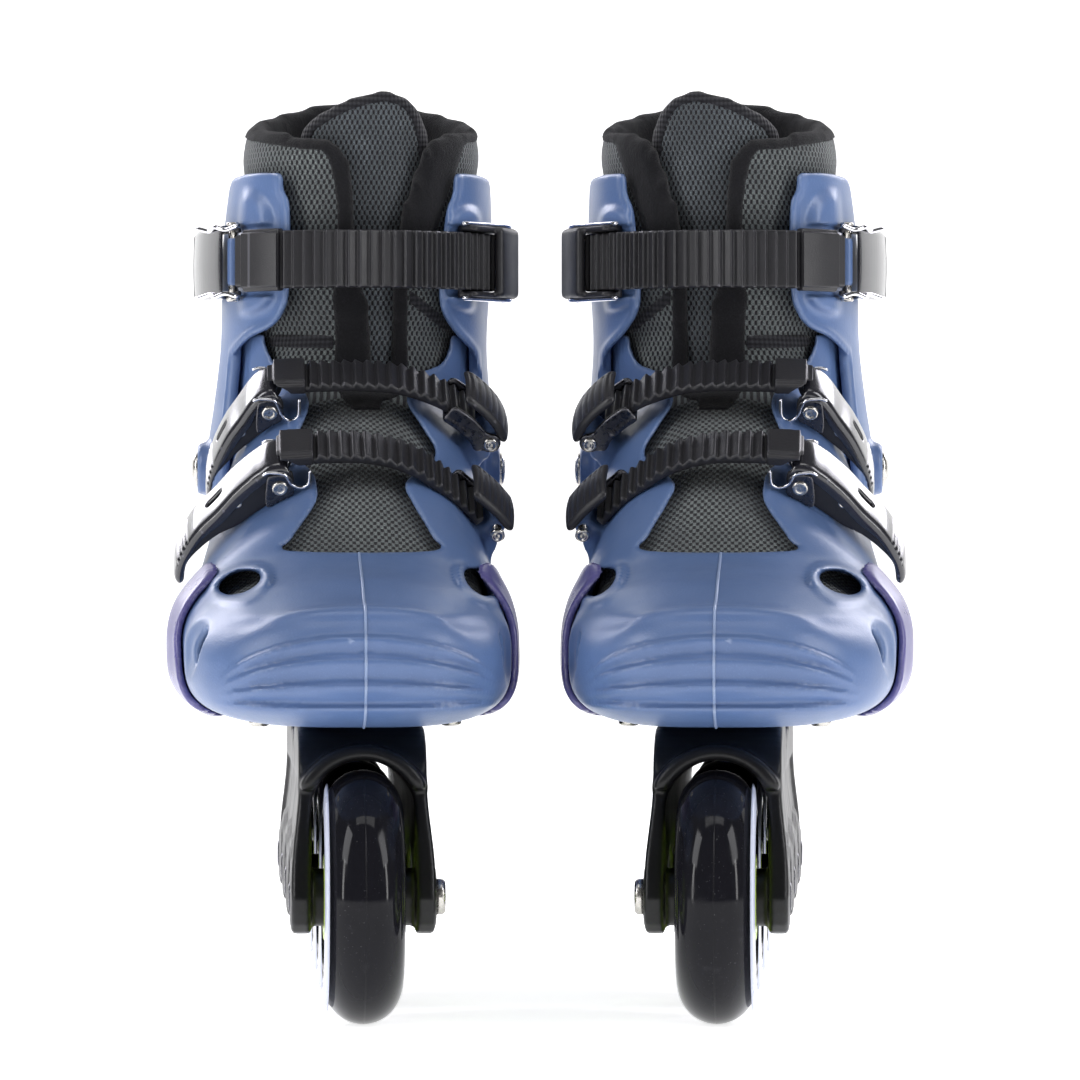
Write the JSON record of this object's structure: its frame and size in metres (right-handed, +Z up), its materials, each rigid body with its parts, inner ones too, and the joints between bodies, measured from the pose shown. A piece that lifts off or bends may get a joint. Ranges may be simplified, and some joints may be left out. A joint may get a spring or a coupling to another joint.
{
  "type": "inline skates",
  "caption": "Pair of hard-shell inline skates with hinged cuffs, lever buckles on toothed straps and wheels in one row.",
  "frame": {"origin": "on the ground under the middle of the pair", "axes": "+Z up; +Y from the toes to the heels; +X from the right skate to the left skate"},
  "size_m": [0.2368, 0.3154, 0.2929],
  "materials": {
    "shell": "satin, fine moulded grain",
    "guard": "glossy violet-blue",
    "liner_mesh": "open spacer mesh with fleece trim",
    "black_plastic": "fine spark-eroded grain",
    "frame": "satin glass-filled nylon",
    "tyre": "glossy cast polyurethane",
    "hub": "glossy yellow-green",
    "steel": "bright zinc and nickel plate"
  },
  "bodies": {
    "right_boot": {"right_shell": "shell", "right_side_guard": "guard", "right_liner_boot": "liner_mesh", "right_frame": "frame", "right_axle_1": "steel", "right_axle_2": "steel", "right_axle_3": "steel", "right_axle_4": "steel"},
    "right_cuff": {"right_cuff": "shell", "right_liner_collar": "liner_mesh", "right_tongue": "liner_mesh"},
    "right_wheel_1": {"right_tyre_1": "tyre", "right_hub_1": "hub"},
    "right_wheel_2": {"right_tyre_2": "tyre", "right_hub_2": "hub"},
    "right_wheel_3": {"right_tyre_3": "tyre", "right_hub_3": "hub"},
    "right_wheel_4": {"right_tyre_4": "tyre", "right_hub_4": "hub"},
    "right_toe_strap": {"right_toe_strap": "black_plastic", "right_toe_receiver": "black_plastic"},
    "right_toe_lever": {"right_toe_lever": "black_plastic"},
    "right_toe_release": {"right_toe_release": "black_plastic"},
    "right_mid_strap": {"right_mid_strap": "black_plastic", "right_mid_receiver": "black_plastic"},
    "right_mid_lever": {"right_mid_lever": "black_plastic"},
    "right_mid_release": {"right_mid_release": "black_plastic"},
    "right_top_strap": {"right_top_strap": "black_plastic", "right_top_receiver": "black_plastic"},
    "right_top_lever": {"right_top_lever": "black_plastic"},
    "left_boot": {"left_shell": "shell", "left_side_guard": "guard", "left_liner_boot": "liner_mesh", "left_frame": "frame", "left_axle_1": "steel", "left_axle_2": "steel", "left_axle_3": "steel", "left_axle_4": "steel"},
    "left_cuff": {"left_cuff": "shell", "left_liner_collar": "liner_mesh", "left_tongue": "liner_mesh"},
    "left_wheel_1": {"left_tyre_1": "tyre", "left_hub_1": "hub"},
    "left_wheel_2": {"left_tyre_2": "tyre", "left_hub_2": "hub"},
    "left_wheel_3": {"left_tyre_3": "tyre", "left_hub_3": "hub"},
    "left_wheel_4": {"left_tyre_4": "tyre", "left_hub_4": "hub"},
    "left_toe_strap": {"left_toe_strap": "black_plastic", "left_toe_receiver": "black_plastic"},
    "left_toe_lever": {"left_toe_lever": "black_plastic"},
    "left_toe_release": {"left_toe_release": "black_plastic"},
    "left_mid_strap": {"left_mid_strap": "black_plastic", "left_mid_receiver": "black_plastic"},
    "left_mid_lever": {"left_mid_lever": "black_plastic"},
    "left_mid_release": {"left_mid_release": "black_plastic"},
    "left_top_strap": {"left_top_strap": "black_plastic", "left_top_receiver": "black_plastic"},
    "left_top_lever": {"left_top_lever": "black_plastic"}
  },
  "joints": [
    {"name": "right_cuff_flex", "type": "hinge", "parent": "right_boot", "child": "right_cuff", "pos_m": [-0.06318, 0.05191, 0.168], "axis": [0.9982, 0.0593, 0], "range_deg": [0, 8]},
    {"name": "right_wheel_1_spin", "type": "hinge", "parent": "right_boot", "child": "right_wheel_1", "pos_m": [-0.05298, -0.11979, 0.038], "axis": [0.9982, 0.0593, 0], "continuous": true},
    {"name": "right_wheel_2_spin", "type": "hinge", "parent": "right_boot", "child": "right_wheel_2", "pos_m": [-0.05773, -0.03993, 0.038], "axis": [0.9982, 0.0593, 0], "continuous": true},
    {"name": "right_wheel_3_spin", "type": "hinge", "parent": "right_boot", "child": "right_wheel_3", "pos_m": [-0.06247, 0.03993, 0.038], "axis": [0.9982, 0.0593, 0], "continuous": true},
    {"name": "right_wheel_4_spin", "type": "hinge", "parent": "right_boot", "child": "right_wheel_4", "pos_m": [-0.06722, 0.11979, 0.038], "axis": [0.9982, 0.0593, 0], "continuous": true},
    {"name": "right_toe_lever_open", "type": "hinge", "parent": "right_boot", "child": "right_toe_lever", "pos_m": [-0.08162, -0.03901, 0.16632], "axis": [-0.0497, 0.8372, 0.5446], "range_deg": [0, 60]},
    {"name": "right_toe_strap_swing", "type": "hinge", "parent": "right_boot", "child": "right_toe_strap", "pos_m": [-0.01385, -0.02541, 0.15161], "axis": [-0.0497, 0.8372, 0.5446], "range_deg": [0, 40]},
    {"name": "right_toe_release_press", "type": "hinge", "parent": "right_toe_strap", "child": "right_toe_release", "pos_m": [-0.01385, -0.02541, 0.15161], "axis": [-0.0497, 0.8372, 0.5446], "range_deg": [0, 25], "stiffness_Nm_per_rad": 0.002, "springref_deg": -17.19},
    {"name": "right_mid_lever_open", "type": "hinge", "parent": "right_boot", "child": "right_mid_lever", "pos_m": [-0.08653, -0.00372, 0.19058], "axis": [-0.0497, 0.8372, 0.5446], "range_deg": [0, 60]},
    {"name": "right_mid_strap_swing", "type": "hinge", "parent": "right_boot", "child": "right_mid_strap", "pos_m": [-0.01635, 0.00684, 0.18076], "axis": [-0.0497, 0.8372, 0.5446], "range_deg": [0, 40]},
    {"name": "right_mid_release_press", "type": "hinge", "parent": "right_mid_strap", "child": "right_mid_release", "pos_m": [-0.01635, 0.00684, 0.18076], "axis": [-0.0497, 0.8372, 0.5446], "range_deg": [0, 25], "stiffness_Nm_per_rad": 0.002, "springref_deg": -17.19},
    {"name": "right_top_lever_open", "type": "hinge", "parent": "right_cuff", "child": "right_top_lever", "pos_m": [-0.09958, 0.0237, 0.235], "axis": [0, 0, 1], "range_deg": [0, 80]},
    {"name": "right_top_strap_swing", "type": "hinge", "parent": "right_cuff", "child": "right_top_strap", "pos_m": [-0.01343, 0.03881, 0.235], "axis": [0, 0, 1], "range_deg": [0, 40]},
    {"name": "left_cuff_flex", "type": "hinge", "parent": "left_boot", "child": "left_cuff", "pos_m": [0.06318, 0.05191, 0.168], "axis": [0.9982, -0.0593, 0], "range_deg": [0, 8]},
    {"name": "left_wheel_1_spin", "type": "hinge", "parent": "left_boot", "child": "left_wheel_1", "pos_m": [0.05298, -0.11979, 0.038], "axis": [0.9982, -0.0593, 0], "continuous": true},
    {"name": "left_wheel_2_spin", "type": "hinge", "parent": "left_boot", "child": "left_wheel_2", "pos_m": [0.05773, -0.03993, 0.038], "axis": [0.9982, -0.0593, 0], "continuous": true},
    {"name": "left_wheel_3_spin", "type": "hinge", "parent": "left_boot", "child": "left_wheel_3", "pos_m": [0.06247, 0.03993, 0.038], "axis": [0.9982, -0.0593, 0], "continuous": true},
    {"name": "left_wheel_4_spin", "type": "hinge", "parent": "left_boot", "child": "left_wheel_4", "pos_m": [0.06722, 0.11979, 0.038], "axis": [0.9982, -0.0593, 0], "continuous": true},
    {"name": "left_toe_lever_open", "type": "hinge", "parent": "left_boot", "child": "left_toe_lever", "pos_m": [0.08162, -0.03901, 0.16632], "axis": [-0.0497, -0.8372, -0.5446], "range_deg": [0, 60]},
    {"name": "left_toe_strap_swing", "type": "hinge", "parent": "left_boot", "child": "left_toe_strap", "pos_m": [0.01385, -0.02541, 0.15161], "axis": [-0.0497, -0.8372, -0.5446], "range_deg": [0, 40]},
    {"name": "left_toe_release_press", "type": "hinge", "parent": "left_toe_strap", "child": "left_toe_release", "pos_m": [0.01385, -0.02541, 0.15161], "axis": [-0.0497, -0.8372, -0.5446], "range_deg": [0, 25], "stiffness_Nm_per_rad": 0.002, "springref_deg": -17.19},
    {"name": "left_mid_lever_open", "type": "hinge", "parent": "left_boot", "child": "left_mid_lever", "pos_m": [0.08653, -0.00372, 0.19058], "axis": [-0.0497, -0.8372, -0.5446], "range_deg": [0, 60]},
    {"name": "left_mid_strap_swing", "type": "hinge", "parent": "left_boot", "child": "left_mid_strap", "pos_m": [0.01635, 0.00684, 0.18076], "axis": [-0.0497, -0.8372, -0.5446], "range_deg": [0, 40]},
    {"name": "left_mid_release_press", "type": "hinge", "parent": "left_mid_strap", "child": "left_mid_release", "pos_m": [0.01635, 0.00684, 0.18076], "axis": [-0.0497, -0.8372, -0.5446], "range_deg": [0, 25], "stiffness_Nm_per_rad": 0.002, "springref_deg": -17.19},
    {"name": "left_top_lever_open", "type": "hinge", "parent": "left_cuff", "child": "left_top_lever", "pos_m": [0.09958, 0.0237, 0.235], "axis": [0, 0, -1], "range_deg": [0, 80]},
    {"name": "left_top_strap_swing", "type": "hinge", "parent": "left_cuff", "child": "left_top_strap", "pos_m": [0.01343, 0.03881, 0.235], "axis": [0, 0, -1], "range_deg": [0, 40]},
    {"name": "pair_spacing", "type": "slide", "parent": "right_boot", "child": "left_boot", "axis": [1, 0, 0], "range_m": [0, 0.25]}
  ]
}
